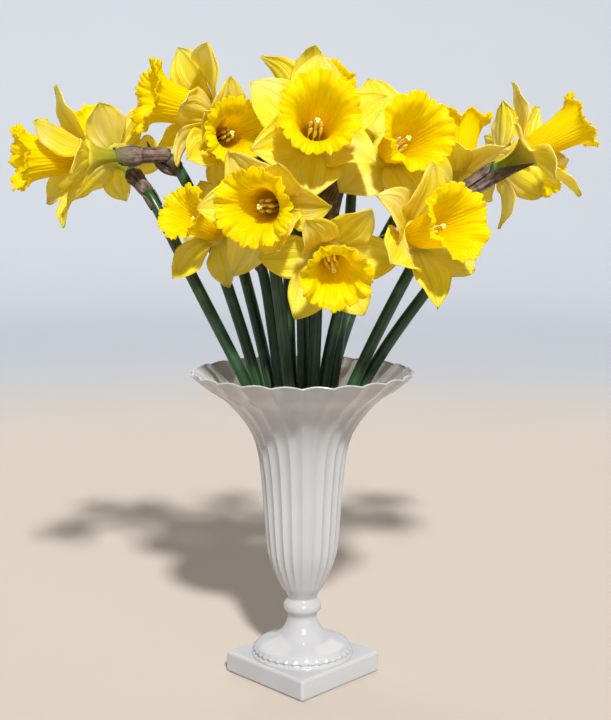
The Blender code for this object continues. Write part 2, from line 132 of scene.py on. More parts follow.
# Layout, one row a flower: place of the centre; azimuth and elevation that it faces; roll; size; the
# stem's seat in the throat; the stem's sideways bow in mm; the lean of its six tepals from the axis.
LAYOUT = (
    ((-0.119, -0.019, 0.302), -66, -2, 43, 0.97, (-2, 0), (-3, 4), (36, 64, 56, 60, 60, 60)),
    ((-0.109, 0.025, 0.304), -141, 31, 0, 0.85, (-1, -1), (-5, -2), (85, 87, 85, 85, 80, 88)),
    ((-0.053, 0.009, 0.327), -70, 14, -5, 1.00, (-1, 1), (-7, 6), (47, 62, 55, 58, 58, 58)),
    ((-0.0438, -0.0060, 0.3135), 17, 3, 30, 0.84, (-2, 1), (1, 3), (43, 49, 30, 51, 94, 98)),
    ((-0.048, -0.018, 0.261), -39, 24, 0, 0.78, (-1, 0), (-2, -2), (106, 69, 74, 101, 82, 102)),
    ((-0.016, -0.044, 0.276), -14, -2, 0, 0.97, (0, 0), (1, -1), (56, 33, 42, 49, 84, 35)),
    ((0.006, -0.031, 0.313), 5, 15, 25, 1.00, (0, 1), (1, 2), (73, 76, 72, 53, 62, 52)),
    ((0.000, 0.023, 0.330), 146, 26, 56, 0.90, (0, -1), (2, -6), (76, 78, 90, 85, 80, 80)),
    ((0.048, -0.012, 0.305), 22, 15, 35, 1.00, (1, 1), (6, 0), (90, 98, 92, 80, 66, 90)),
    ((0.090, 0.018, 0.293), 161, 78, 30, 0.91, (2, 0), (-4, 2), (80, 64, 66, 52, 70, 69)),
    ((0.127, -0.005, 0.306), 85, 30, 34, 0.88, (2, -1), (3, 0), (60, 74, 102, 82, 68, 60)),
    ((0.124, 0.072, 0.300), 112, -2, 30, 0.90, (0, 2), (-4, 4), (80, 90, 80, 66, 84, 96)),
    ((0.060, -0.043, 0.260), 34, 13, 30, 0.97, (1, 0), (-2, -1), (80, 45, 58, 60, 72, 90)),
    ((0.014, -0.045, 0.250), 7, -20, 0, 0.88, (1, -1), (2, -4), (84, 66, 48, 77, 70, 72)),
)

# How far each flower's mouth flares, as a share of the usual.
FLARES = (0.50, 0.75, 0.86, 0.80, 0.72, 0.80, 0.88, 0.85, 0.80, 0.62, 0.62, 0.80, 0.78, 0.80)

# Degrees by which single tepals turn about their midribs: (flower, tepal).
TURNED = {
    (1, 1): 0, (3, 1): 35, (3, 2): 35, (11, 1): 15, (11, 2): -10, (7, 4): 0, (7, 2): 10, (13, 1): 10,
}
# Widths of single tepals, as shares of the usual: (flower, tepal).
BROAD = {
    (3, 1): 1.05, (3, 2): 1.05, (7, 2): 1.10, (7, 4): 1.30, (11, 1): 0.9, (11, 2): 0.85,
    (1, 1): 1.0, (1, 0): 0.8,
}

# ---- spathes --------------------------------------------------------------------------------
SPATHE_START = 41           # point of the stem's path where the sheath begins
LOOSE_START = 39            # and where its loose point begins
SPATHE_SHARE = 0.93         # how much of the neck and ovary it covers
SPATHE_THICKNESS = 0.0003
SHEATHED = (1,)             # flowers whose spathe still covers the ovary
# where those spathes go on past it: (place on the flower's axis, radius)
SHEATH_BEYOND = ((-0.0172, 0.0042), (-0.0150, 0.0046), (-0.0128, 0.0050), (-0.0106, 0.0054))
# Loose points of withered spathes: flower, tip, half-width.
LOOSE = (
    (1, (-0.0870, -0.0010, 0.3110), 0.0030),
    (11, (0.1280, -0.0120, 0.2985), 0.0048),
    (14, (0.0275, 0.0000, 0.2990), 0.0100),
)

# ---- fineness -------------------------------------------------------------------------------
FOOT_STEPS = 4
BOWL_STEPS = 8
LIP_STEPS = 6
TEPAL_ROWS = 30
TEPAL_COLUMNS = 24
TUBE_SIDES = 48
CORONA_COLUMNS = 200
CORONA_ROWS = 30
STEM_SIDES = 24
SPATHE_COLUMNS = 28
FLOOR_SIDES = 96
PETAL_THICKNESS = 0.00045

# ---- studio ---------------------------------------------------------------------------------
FLOOR_REACH = 2.0           # radius of the level floor
SWEEP = 1.4                 # radius of its curve up into the wall
WALL_HEIGHT = 1.6
TONE_CHANGE = (0.6, 1.5)    # distances between which the floor's tone turns into the wall's
GLOW_FULL = 3.2             # distance at which the wall's glow is full
WALL_GLOW = 0.29
WALL_DIMMING = 0.42         # how much darker the glowing wall's own tone is
# name, strength, softness, tint, azimuth from the front towards the right, height; angles in degrees
SUNS = (
    ("key", 5.0, 4.5, (1.0, 0.985, 0.96), 11, 42),
    ("fill", 1.3, 70.0, (1.0, 0.97, 0.92), 190, 40),
)
SURROUND = (1.0, 0.95, 0.89)
SURROUND_STRENGTH = 0.15
CAMERA_PLACE = (0.00181, -0.6763, 0.2798)
CAMERA_DIP = 7.79           # degrees below the level
LENS = 59.29
SENSOR = 36.0


# ---- mesh helpers ---------------------------------------------------------------------------
def spread(low, high, steps):
    """steps + 1 values from low to high."""
    return [low + (high - low) * k / steps for k in range(steps + 1)]


def smooth_step(low, high, x):
    share = min(max((x - low) / (high - low), 0.0), 1.0)
    return share * share * (3 - 2 * share)


def curve_value(p, q, r, s, x):
    """Catmull-Rom value between q and r, a share x of the way."""
    square = (2 * p - 5 * q + 4 * r - s) * x**2
    cube = (3 * q - p - 3 * r + s) * x**3
    return 0.5 * (2 * q + (r - p) * x + square + cube)


def smooth_rows(rows, steps):
    """Catmull-Rom curve through rows of numbers, with this many steps between each two."""
    last = len(rows) - 1
    fine = []
    for k in range(last):
        four = (rows[max(k - 1, 0)], rows[k], rows[k + 1], rows[min(k + 2, last)])
        for step in range(steps):
            fine.append(tuple(curve_value(*values, step / steps) for values in zip(*four)))
    fine.append(tuple(rows[-1]))
    return fine


def grid_piece(name, grid, mat, closed=False, around=(0.0, 1.0), along=(0.0, 1.0), capped=False):
    """Mesh over rows of points, with a UV map called blade: across or around, and along."""
    columns = len(grid[0])
    across = columns if closed else columns - 1
    points = [tuple(p) for row in grid for p in row]
    faces = []
    corners = []
    rows = len(grid) - 1
    for i in range(rows):
        below, above = i * columns, (i + 1) * columns
        low, high = i / rows, (i + 1) / rows
        for j in range(across):
            after = (j + 1) % columns
            faces.append((below + j, below + after, above + after, above + j))
            left, right = j / across, (j + 1) / across
            corners.extend(((left, low), (right, low), (right, high), (left, high)))
    if capped:
        faces.append(tuple(reversed(range(columns))))
        corners.extend([(0.5, 0.0)] * columns)
    mesh = bpy.data.meshes.new(name)
    mesh.from_pydata(points, [], faces)
    layer = mesh.uv_layers.new(name="blade")
    flat = []
    for u, v in corners:
        flat.append(around[0] + (around[1] - around[0]) * u)
        flat.append(along[0] + (along[1] - along[0]) * v)
    layer.data.foreach_set("uv", flat)
    mesh.materials.append(mat)
    mesh.shade_smooth()
    piece = bpy.data.objects.new(name, mesh)
    bpy.context.scene.collection.objects.link(piece)
    return piece


def join(name, pieces):
    """One object from several, with their UV maps and materials kept."""
    first = pieces[0]
    with bpy.context.temp_override(active_object=first, object=first, selected_editable_objects=pieces):
        bpy.ops.object.join()
    first.name = name
    first.data.name = name
    return first


def thicken(piece, thickness):
    """Turn a sheet into a thin wall."""
    wall = piece.modifiers.new("wall", "SOLIDIFY")
    wall.thickness = thickness
    wall.offset = 0.0
    return piece


def belongs(piece, solid):
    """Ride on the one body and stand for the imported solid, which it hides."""
    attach(piece, "root")
    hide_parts(solid)


# ---- material helpers -----------------------------------------------------------------------
def node(tree, kind, settings=None, **inputs):
    """Add a shader node; an input is given by its name, with _ for a space."""
    made = tree.nodes.new("ShaderNode" + kind)
    for key, value in (settings or {}).items():
        setattr(made, key, value)
    for key, value in inputs.items():
        put(tree, made.inputs[key.replace("_", " ")], value)
    return made


def put(tree, socket, value):
    if isinstance(value, bpy.types.NodeSocket):
        tree.links.new(value, socket)
    else:
        socket.default_value = value


def colour(r, g, b):
    return (r, g, b, 1.0)


def mix(tree, factor, a, b):
    """Colour between a and b."""
    made = tree.nodes.new("ShaderNodeMix")
    made.data_type = "RGBA"
    put(tree, made.inputs[0], factor)
    put(tree, made.inputs[6], a)
    put(tree, made.inputs[7], b)
    return made.outputs[2]


def maths(tree, operation, a, b=0.0, c=0.0):
    made = node(tree, "Math", {"operation": operation})
    for socket, value in zip(made.inputs, (a, b, c)):
        put(tree, socket, value)
    return made.outputs[0]


def between(tree, value, low, high):
    """0 below low and 1 above high, smooth between."""
    made = node(tree, "MapRange", {"interpolation_type": "SMOOTHSTEP"})
    put(tree, made.inputs["Value"], value)
    made.inputs["From Min"].default_value = low
    made.inputs["From Max"].default_value = high
    return made.outputs["Result"]


def below(tree, value, low, high):
    """1 below low and 0 above high, smooth between."""
    return maths(tree, "SUBTRACT", 1.0, between(tree, value, low, high))


def part_of(tree, value, share):
    return maths(tree, "MULTIPLY", value, share)


def object_place(tree):
    return node(tree, "TexCoord").outputs["Object"]


def blade_place(tree, across, along):
    """The blade map's two coordinates, and a vector stretched by across and along."""
    uv = node(tree, "UVMap", {"uv_map": "blade"}).outputs["UV"]
    parts = node(tree, "SeparateXYZ", Vector=uv)
    shift = node(tree, "VectorMath", {"operation": "SCALE"})
    put(tree, shift.inputs[0], object_place(tree))
    shift.inputs["Scale"].default_value = 4.0
    stretched = node(tree, "Mapping", Vector=uv, Scale=(across, along, 1.0)).outputs["Vector"]
    place = node(tree, "VectorMath", {"operation": "ADD"})
    put(tree, place.inputs[0], stretched)
    put(tree, place.inputs[1], shift.outputs["Vector"])
    return parts.outputs["X"], parts.outputs["Y"], place.outputs["Vector"]


def noise_at(tree, place, scale, detail=3.0):
    return node(tree, "TexNoise", Vector=place, Scale=scale, Detail=detail).outputs["Fac"]


def start_material(name):
    mat = bpy.data.materials.new(name)
    mat.use_nodes = True
    tree = mat.node_tree
    return mat, tree, tree.nodes["Principled BSDF"]


def let_light_through(tree, bsdf, tint, share, normal):
    """Mix in the light that shines through a thin petal from behind, deeper in colour."""
    through = node(tree, "BsdfTranslucent", Color=tint, Normal=normal)
    both = node(tree, "MixShader")
    both.inputs[0].default_value = share
    tree.links.new(bsdf.outputs[0], both.inputs[1])
    tree.links.new(through.outputs[0], both.inputs[2])
    tree.links.new(both.outputs[0], tree.nodes["Material Output"].inputs["Surface"])


# ---- materials ------------------------------------------------------------------------------
def glaze_material():
    """White glaze: glossy and faintly uneven."""
    mat, tree, bsdf = start_material("white glaze")
    here = object_place(tree)
    broad = noise_at(tree, here, 22.0, 2.0)
    grey, white = colour(0.40, 0.405, 0.42), colour(0.44, 0.445, 0.46)
    put(tree, bsdf.inputs["Base Color"], mix(tree, between(tree, broad, 0.35, 0.70), grey, white))
    fine = noise_at(tree, here, 150.0, 2.0)
    put(tree, bsdf.inputs["Roughness"], maths(tree, "MULTIPLY_ADD", fine, 0.10, 0.10))
    bump = node(tree, "Bump", Height=broad, Strength=0.25, Distance=0.0010).outputs[0]
    bump_fine = node(tree, "Bump", Height=fine, Strength=0.12, Distance=0.0003, Normal=bump)
    put(tree, bsdf.inputs["Normal"], bump_fine.outputs[0])
    bsdf.inputs["Coat Weight"].default_value = 0.5
    bsdf.inputs["Coat Roughness"].default_value = 0.06
    bsdf.inputs["Subsurface Weight"].default_value = 0.05
    return mat


def water_material():
    """Clear water with a faint ripple."""
    mat, tree, bsdf = start_material("water")
    ripple = noise_at(tree, object_place(tree), 90.0, 1.0)
    bump = node(tree, "Bump", Height=ripple, Strength=0.1, Distance=0.0005)
    put(tree, bsdf.inputs["Normal"], bump.outputs[0])
    cool, clear = colour(0.86, 0.93, 0.93), colour(0.92, 0.96, 0.94)
    put(tree, bsdf.inputs["Base Color"], mix(tree, ripple, cool, clear))
    bsdf.inputs["Roughness"].default_value = 0.02
    bsdf.inputs["IOR"].default_value = 1.33
    bsdf.inputs["Transmission Weight"].default_value = 0.9
    return mat


def stem_material():
    """Dark green scape with lengthwise ribs and a pale waxy bloom; the ovary is brighter."""
    mat, tree, bsdf = start_material("green scape")
    _, along, place = blade_place(tree, 26.0, 5.0)
    streak = noise_at(tree, place, 1.0, 4.0)
    patch = noise_at(tree, object_place(tree), 60.0, 2.0)
    dark, light = colour(0.004, 0.022, 0.003), colour(0.022, 0.075, 0.020)
    waxy, ovary = colour(0.07, 0.20, 0.13), colour(0.17, 0.31, 0.03)
    tone = mix(tree, between(tree, streak, 0.35, 0.68), dark, light)
    tone = mix(tree, part_of(tree, between(tree, patch, 0.50, 0.80), 0.40), tone, waxy)
    tone = mix(tree, between(tree, along, 0.88, 0.97), tone, ovary)
    put(tree, bsdf.inputs["Base Color"], tone)
    put(tree, bsdf.inputs["Roughness"], maths(tree, "MULTIPLY_ADD", patch, 0.25, 0.22))
    bump = node(tree, "Bump", Height=streak, Strength=0.5, Distance=0.0003)
    put(tree, bsdf.inputs["Normal"], bump.outputs[0])
    bsdf.inputs["Coat Weight"].default_value = 0.25
    bsdf.inputs["Coat Roughness"].default_value = 0.25
    bsdf.inputs["Coat Tint"].default_value = colour(0.80, 1.0, 0.93)
    return mat


def spathe_material():
    """Withered papery sheath: mauve-brown, veined lengthwise, mottled dark."""
    mat, tree, bsdf = start_material("withered spathe")
    _, along, place = blade_place(tree, 20.0, 3.0)
    vein = noise_at(tree, place, 1.0, 5.0)
    mottle = noise_at(tree, object_place(tree), 260.0, 4.0)
    dark, brown = colour(0.040, 0.021, 0.012), colour(0.20, 0.135, 0.10)
    mauve, olive = colour(0.27, 0.20, 0.185), colour(0.16, 0.15, 0.065)
    tone = mix(tree, between(tree, vein, 0.38, 0.62), dark, brown)
    tone = mix(tree, between(tree, mottle, 0.45, 0.70), tone, mauve)
    tone = mix(tree, between(tree, along, 0.55, 0.95), tone, olive)
    put(tree, bsdf.inputs["Base Color"], tone)
    put(tree, bsdf.inputs["Roughness"], maths(tree, "MULTIPLY_ADD", mottle, 0.3, 0.45))
    bump = node(tree, "Bump", Height=vein, Strength=0.9, Distance=0.0006).outputs[0]
    fine = node(tree, "Bump", Height=mottle, Strength=0.5, Distance=0.0003, Normal=bump)
    put(tree, bsdf.inputs["Normal"], fine.outputs[0])
    let_light_through(tree, bsdf, tone, 0.15, fine.outputs[0])
    return mat


def tepal_material():
    """Pale yellow petal: lengthwise veins, a greener midrib, base and tip, a green tube."""
    mat, tree, bsdf = start_material("tepal yellow")
    across, along, place = blade_place(tree, 13.0, 0.9)
    vein = noise_at(tree, place, 1.0, 4.0)
    broad = noise_at(tree, object_place(tree), 40.0, 2.0)
    yellow, pale, palest = colour(0.94, 0.83, 0.005), colour(0.98, 0.93, 0.12), colour(0.99, 0.95, 0.42)
    green_rib, green_base = colour(0.74, 0.72, 0.03), colour(0.55, 0.58, 0.05)
    green_tube, dull_tip = colour(0.20, 0.34, 0.02), colour(0.78, 0.76, 0.18)
    tone = mix(tree, between(tree, vein, 0.36, 0.64), yellow, pale)
    tone = mix(tree, part_of(tree, between(tree, broad, 0.40, 0.72), 0.7), tone, palest)
    midrib = below(tree, maths(tree, "ABSOLUTE", across), 0.02, 0.16)
    midrib = maths(tree, "MULTIPLY", midrib, maths(tree, "MULTIPLY_ADD", along, -0.25, 0.45))
    tone = mix(tree, midrib, tone, green_rib)
    tone = mix(tree, part_of(tree, below(tree, along, 0.0, 0.22), 0.5), tone, green_base)
    tone = mix(tree, part_of(tree, below(tree, along, -0.40, 0.10), 0.85), tone, green_tube)
    tone = mix(tree, part_of(tree, between(tree, along, 0.93, 1.0), 0.6), tone, dull_tip)
    put(tree, bsdf.inputs["Base Color"], tone)
    bsdf.inputs["Roughness"].default_value = 0.48
    bsdf.inputs["Specular IOR Level"].default_value = 0.22
    bump = node(tree, "Bump", Height=vein, Strength=0.9, Distance=0.0008)
    put(tree, bsdf.inputs["Normal"], bump.outputs[0])
    deep = mix(tree, 0.8, tone, colour(1.0, 0.82, 0.0))
    let_light_through(tree, bsdf, deep, 0.48, bump.outputs[0])
    return mat


def corona_material():
    """Deep yellow trumpet: ribbed lengthwise, deeper inside the throat, with painted shade darkening
    its bottom.
    """
    mat, tree, bsdf = start_material("corona yellow")
    _, along, place = blade_place(tree, 60.0, 1.2)
    rib = noise_at(tree, place, 1.0, 4.0)
    broad = noise_at(tree, object_place(tree), 45.0, 2.0)
    deep, bright, light = colour(0.97, 0.80, 0.0), colour(1.0, 0.88, 0.0), colour(1.0, 0.93, 0.0)
    throat, deepest_and_painted_shade = colour(0.99, 0.79, 0.0), colour(0.82, 0.56, 0.01)
    tone = mix(tree, between(tree, rib, 0.36, 0.66), deep, bright)
    tone = mix(tree, part_of(tree, between(tree, broad, 0.4, 0.7), 0.35), tone, light)
    tone = mix(tree, below(tree, along, 0.15, 0.60), tone, throat)
    # painted shade: the bottom of the trumpet and the throat below it darken to deep orange, partly
    # their own deeper colour and partly shade painted into the narrow recess
    tone = mix(tree, below(tree, along, 0.0, 0.26), tone, deepest_and_painted_shade)
    put(tree, bsdf.inputs["Base Color"], tone)
    bsdf.inputs["Roughness"].default_value = 0.45
    bsdf.inputs["Specular IOR Level"].default_value = 0.15
    bump = node(tree, "Bump", Height=rib, Strength=0.6, Distance=0.0006)
    put(tree, bsdf.inputs["Normal"], bump.outputs[0])
    glow = mix(tree, 0.7, tone, colour(1.0, 0.82, 0.0))
    let_light_through(tree, bsdf, glow, 0.58, bump.outputs[0])
    return mat


def anther_material():
    """Pollen-covered anthers and the pale style."""
    mat, tree, bsdf = start_material("anther cream")
    grain = noise_at(tree, object_place(tree), 1800.0, 2.0)
    pollen, cream = colour(0.90, 0.72, 0.16), colour(0.98, 0.90, 0.46)
    put(tree, bsdf.inputs["Base Color"], mix(tree, between(tree, grain, 0.35, 0.65), pollen, cream))
    bsdf.inputs["Roughness"].default_value = 0.7
    bump = node(tree, "Bump", Height=grain, Strength=0.6, Distance=0.0002)
    put(tree, bsdf.inputs["Normal"], bump.outputs[0])
    return mat


# ---- vase -----------------------------------------------------------------------------------
def vase_ring(height, radius, depth, lift=0.0, scallop=0.0):
    """Ring of the vase: flutes of this depth between arrises, an arris at the front."""
    ring = []
    for k in range(COLUMNS):
        angle = 2 * math.pi * k / COLUMNS - math.pi / 2
        hollow = abs(math.sin(FLUTES / 2 * (angle + math.pi / 2)))
        r = radius - depth * hollow - scallop * abs(math.sin(GADROONS / 2 * angle))
        ring.append(Vector((r * math.cos(angle), r * math.sin(angle), height + lift * hollow)))
    return ring


def vase_rings():
    """Foot, fluted outside, rounded lip, inside and floor."""
    rings = []
    for z, r in smooth_rows(FOOT_PROFILE, FOOT_STEPS):
        scallop = GADROON_DEPTH * smooth_step(*GADROON_START, z) * (1 - smooth_step(*GADROON_END, z))
        rings.append(vase_ring(z, r, 0.0, scallop=scallop))
    bowl = [(z, r, wall, depth, RIM_WAVE * smooth_step(RIM_WAVE_START, VASE_HEIGHT, z))
            for z, r, wall, depth in smooth_rows(BOWL_PROFILE, BOWL_STEPS)]
    rings.extend(vase_ring(z, r, depth, lift) for z, r, wall, depth, lift in bowl)
    z, r, wall, depth, lift = bowl[-1]
    half = wall / 2
    for turn in spread(0.0, math.pi, LIP_STEPS)[1:-1]:
        lip = r - half + half * math.cos(turn)
        rings.append(vase_ring(z + half * math.sin(turn), lip, depth, lift))
    rings.extend(vase_ring(z, r - wall, depth, lift) for z, r, wall, depth, lift in reversed(bowl)
                 if z > FLOOR_HEIGHT + FLOOR_CLEARANCE)
    rings.extend(vase_ring(FLOOR_HEIGHT, FLOOR_RADIUS * share, 0.0) for share in FLOOR_RINGS)
    return rings


def make_plinth(mat):
    """Square block with rounded edges, a corner to the front."""
    half = PLINTH_SIDE / math.sqrt(2)
    turns = [math.pi / 2 * k for k in range(4)]
    foot = [Vector((half * math.cos(a), half * math.sin(a), 0.0)) for a in turns]
    points = [tuple(p) for p in foot] + [tuple(p + UP * PLINTH_HEIGHT) for p in foot]
    sides = [(k, (k + 1) % 4, (k + 1) % 4 + 4, k + 4) for k in range(4)]
    mesh = bpy.data.meshes.new("plinth")
    mesh.from_pydata(points, [], [(3, 2, 1, 0), (4, 5, 6, 7)] + sides)
    mesh.uv_layers.new(name="blade")
    mesh.materials.append(mat)
    mesh.shade_smooth()
    block = bpy.data.objects.new("plinth_fine", mesh)
    bpy.context.scene.collection.objects.link(block)
    soft = block.modifiers.new("soft edges", "BEVEL")
    soft.width = PLINTH_BEVEL
    soft.segments = 5
    soft.harden_normals = True
    return block


def make_vase(mat):
    body = grid_piece("vase_fine", vase_rings(), mat, closed=True)
    body.data.set_sharp_from_angle(angle=math.radians(50))
    belongs(body, "vase")
    belongs(make_plinth(mat), "vase")


# ---- flower ---------------------------------------------------------------------------------
class Flower:
    """Place, facing and pose of one daffodil, with its own axes and its own seeded chance."""

    def __init__(self, number, row):
        place, azimuth, elevation, self.roll, self.size, self.cell, bow, self.leans = row
        az, el = math.radians(azimuth), math.radians(elevation)
        self.number = number
        self.name = f"flower_{number:02d}"
        self.centre = Vector(place)
        self.bow = Vector((*bow, 0.0)) / 1000
        self.axis = Vector((math.sin(az) * math.cos(el), -math.cos(az) * math.cos(el), math.sin(el)))
        self.over = (UP - self.axis * UP.dot(self.axis)).normalized()
        self.across = self.over.cross(self.axis)
        self.flare = FLARES[number - 1]
        self.chance = random.Random(number)
        self.seed = 10.0 * number

    def spoke(self, angle):
        return math.cos(angle) * self.across + math.sin(angle) * self.over

    def at(self, radius, angle, height):
        return self.centre + self.size * (radius * self.spoke(angle) + height * self.axis)

    def on_axis(self, height):
        return self.centre + self.axis * (height * self.size)


def tepal_outline(t):
    """Half-width of a tepal as a share of its greatest: broad, then pointed."""
    swell = math.sin(math.pi / 2 * min(t / TEPAL_BROADEST, 1.0))
    return (1 - t ** TEPAL_POINT) * (TEPAL_BASE_WIDTH + (TEPAL_FULLNESS - TEPAL_BASE_WIDTH) * swell)


class Tepal:
    """One tepal: an arched blade, channelled, pleated lengthwise, waved and a little twisted."""

    def __init__(self, flower, k):
        chance = flower.chance
        self.flower = flower
        self.k = k
        self.outer = k % 2 == 1
        self.angle = math.radians(flower.roll + 60 * k)
        self.twist = math.radians(TURNED.get((flower.number, k), chance.uniform(-26, 26)))
        self.boat = chance.uniform(-0.05, 0.34)         # how steeply the edges rise from the midrib
        self.tip_curl = chance.uniform(-0.0035, 0.0040)
        self.phase = chance.uniform(0, 6.28)
        self.ruffle = chance.uniform(0.0003, 0.0008)
        self.skew = chance.uniform(-0.0016, 0.0016)
        self.breadth = BROAD.get((flower.number, k), chance.uniform(0.84, 1.04))

    def midrib(self, t):
        """Distance out from the flower's axis, height along it and lean, a share t of the way."""
        start = math.radians(self.flower.leans[self.k] - TEPAL_CURL / 2)
        bend = math.radians(TEPAL_CURL)
        lean = start + bend * t
        out = TEPAL_START + TEPAL_LENGTH * (math.cos(start) - math.cos(lean)) / bend
        along = TEPAL_LENGTH * (math.sin(lean) - math.sin(start)) / bend
        return out, along - (OUTER_DROP if self.outer else INNER_DROP), lean

    def relief(self, t, u, rise):
        """How far the surface stands above the flat blade, at t along it and u across it."""
        outset = min(2 * t, 1.0)
        trough = 0.0005 if self.outer else 0.0022
        cup = trough * math.sin(math.pi * min(1.1 * t, 1.0)) ** 0.8 * u * u
        wave = 0.0009 * math.sin(7.5 * t + 0.1 * self.flower.roll + 1.7 * self.k) * outset * u * abs(u)
        ruffle = self.ruffle * math.sin(19 * t + self.phase + 2.4 * u) * abs(u) ** 3 * outset
        crease = -0.0009 * math.exp(-(u / 0.15) ** 2) * smooth_step(0.0, 0.25, t) * (1 - 0.6 * t)
        curl = self.tip_curl * smooth_step(0.45, 1.0, t) ** 2
        place = self.flower.centre * 60 + Vector((t * 3, u, self.k))
        rough = 0.0006 * noise.noise(place) * min(3 * t, 1.0)
        belly = math.sin(math.pi * min(t, 1.0)) ** 0.6
        pleats = (0.00034 * math.cos(13 * u + self.phase) + 0.00016 * math.cos(29 * u)) * belly
        return cup + wave + ruffle + rise + crease + curl + rough + pleats

    def point(self, t, u):
        """Point a share t along the blade and u across it, from -1 to 1."""
        flower = self.flower
        out, along, lean = self.midrib(t)
        spoke = flower.spoke(self.angle)
        beside = -math.sin(self.angle) * flower.across + math.cos(self.angle) * flower.over
        normal = -math.cos(lean) * spoke + math.sin(lean) * flower.axis
        turn = self.twist * smooth_step(0.10, 0.85, t)
        side = math.cos(turn) * beside + math.sin(turn) * normal
        lift = math.cos(turn) * normal - math.sin(turn) * beside
        widest = OUTER_WIDTH if self.outer else INNER_WIDTH
        half = 0.5 * widest * self.breadth * tepal_outline(t) + TEPAL_EDGE
        slope = self.boat * smooth_step(0.1, 0.7, t)
        high = self.relief(t, u, half * slope * abs(u) ** 1.3)
        half *= math.sqrt(1 - (slope * 0.8) ** 2)
        flat = out * spoke + along * flower.axis + (u * half + self.skew * t * t) * side
        return flower.centre + flower.size * (flat + high * lift)


def make_tepals(flower, mat):
    """The six tepals in one piece."""
    pieces = []
    for k in range(6):
        blade = Tepal(flower, k)
        grid = [[blade.point(t, u) for u in spread(-1.0, 1.0, TEPAL_COLUMNS)]
                for t in spread(0.0, 1.0, TEPAL_ROWS)]
        pieces.append(grid_piece(f"blade_{k}", grid, mat, around=(-1.0, 1.0)))
    tepals = thicken(join(flower.name + "_tepals_fine", pieces), PETAL_THICKNESS)
    belongs(tepals, flower.name + "_tepals")


def make_tube(flower, mat):
    """Floral tube from the ovary to the tepals, faintly six-ribbed where it widens."""
    turns = [2 * math.pi * k / TUBE_SIDES for k in range(TUBE_SIDES)]
    roll = math.radians(6 * flower.roll)
    rows = []
    for z, r in smooth_rows(TUBE_PROFILE, 4):
        ribs = 0.03 * smooth_step(-0.019, -0.004, z)
        rows.append([flower.at(r * (1 + ribs * math.cos(6 * a - roll)), a, z) for a in turns])
    name = flower.name + "_tube_fine"
    tube = grid_piece(name, rows, mat, closed=True, around=(-0.6, 0.6), along=(-0.5, 0.25))
    belongs(tube, flower.name + "_tepals")


def round_noise(angle, scale, height):
    """Smooth noise round a ring, the same where the ring closes."""
    return noise.noise(Vector((scale * math.cos(angle), scale * math.sin(angle), height)))


class Corona:
    """Trumpet with a frilled mouth: small rounded lobes, ruffled like cloth and pleated inside."""

    def __init__(self, flower):
        chance = flower.chance
        self.flower = flower
        self.lobes = chance.choice((19, 21, 23))
        self.warps = [(n, chance.uniform(0.4, 1.2), chance.uniform(0, 6.28)) for n in (1, 2, 3, 5)]
        self.ruffles = chance.choice((6, 7, 8))
        self.oval = chance.uniform(0, 6.28)
        self.depth = chance.uniform(0.8, 1.2)

    def point(self, s, angle):
        """Point a share s of the way from the seat to the mouth, at this angle round it."""
        flower = self.flower
        warp = sum(size * math.sin(n * angle + start) for n, size, start in self.warps)
        phase = self.lobes * angle + warp
        teeth = 2.0 * phase + 1.2 * math.sin(3 * angle + self.oval)
        cloth = math.cos(self.ruffles * angle + 0.8 * warp)
        vary = 1 + 0.9 * round_noise(angle, 2.2, flower.seed)
        crumple = round_noise(angle, 4, 2.5 * s + flower.seed)
        fine = round_noise(angle, 15, 5 * s + flower.seed)
        edge = smooth_step(0.66, 1.0, s)
        # the mouth's edge: rounded lobes with narrow notches, and a small tooth or two in each
        notch = (1 - abs(math.cos(phase / 2)) ** 0.7) ** 2 * vary
        tooth = (1 - abs(math.cos(teeth / 2)) ** 0.8) ** 2 + 0.6 * fine
        s_cut = s - (0.048 * self.depth * notch + 0.018 * tooth + 0.012 * cloth) * edge ** 2
        reach = max(s_cut, 0.0)
        shell = CORONA_BASE + CORONA_WIDENING * reach ** 0.8 + CORONA_FLARE * flower.flare * reach ** 6
        gather = smooth_step(0.45, 0.85, s)
        pleat = -0.0005 * (1 - abs(math.cos(phase / 2)) ** 0.5) * gather * vary
        creases = 0.00014 * math.cos(teeth * 2 + 0.4) * gather
        ribs = 0.00022 * math.cos(36 * angle) * smooth_step(0.0, 0.2, s) * (1 - edge)
        uneven = 0.025 * math.cos(2 * angle + self.oval) + 0.015 * math.cos(3 * angle + 2 * self.oval)
        oval = 1 + uneven * s
        radius = shell * oval + pleat + creases + ribs + (0.0006 * cloth + 0.0009 * crumple) * edge
        height = CORONA_SEAT + CORONA_LENGTH * s_cut
        height -= (0.0017 * cloth * vary + 0.0006 * math.cos(phase) + 0.0024 * crumple) * edge
        height -= 0.0005 * math.cos(teeth) * edge ** 3
        height -= 0.0022 * smooth_step(0.88, 1.0, s)            # the edge rolls back
        return flower.at(radius, angle, height)


def make_corona(flower, mat):
    """Throat and trumpet in one sheet."""
    mouth = Corona(flower)
    angles = [2 * math.pi * k / CORONA_COLUMNS for k in range(CORONA_COLUMNS)]
    rows = [[flower.at(r, a, z) for a in angles] for z, r in smooth_rows(THROAT_PROFILE, 2)]
    for x in spread(0.0, 1.0, CORONA_ROWS):
        rows.append([mouth.point(x ** 0.8, a) for a in angles])
    sheet = grid_piece(flower.name + "_corona_fine", rows, mat, closed=True)
    belongs(thicken(sheet, PETAL_THICKNESS), flower.name + "_corona")


def rod(name, path, mat, sides=10):
    """Round rod along (point, radius) pairs, closed at its starting end."""
    rows = []
    side = (path[-1][0] - path[0][0]).orthogonal().normalized()
    for k, (centre, radius) in enumerate(path):
        along = (path[min(k + 1, len(path) - 1)][0] - path[max(k - 1, 0)][0]).normalized()
        side = (side - along * side.dot(along)).normalized()
        other = along.cross(side)
        turns = [2 * math.pi * j / sides for j in range(sides)]
        rows.append([centre + radius * (math.cos(a) * side + math.sin(a) * other) for a in turns])
    return grid_piece(name, rows, mat, closed=True, capped=True)


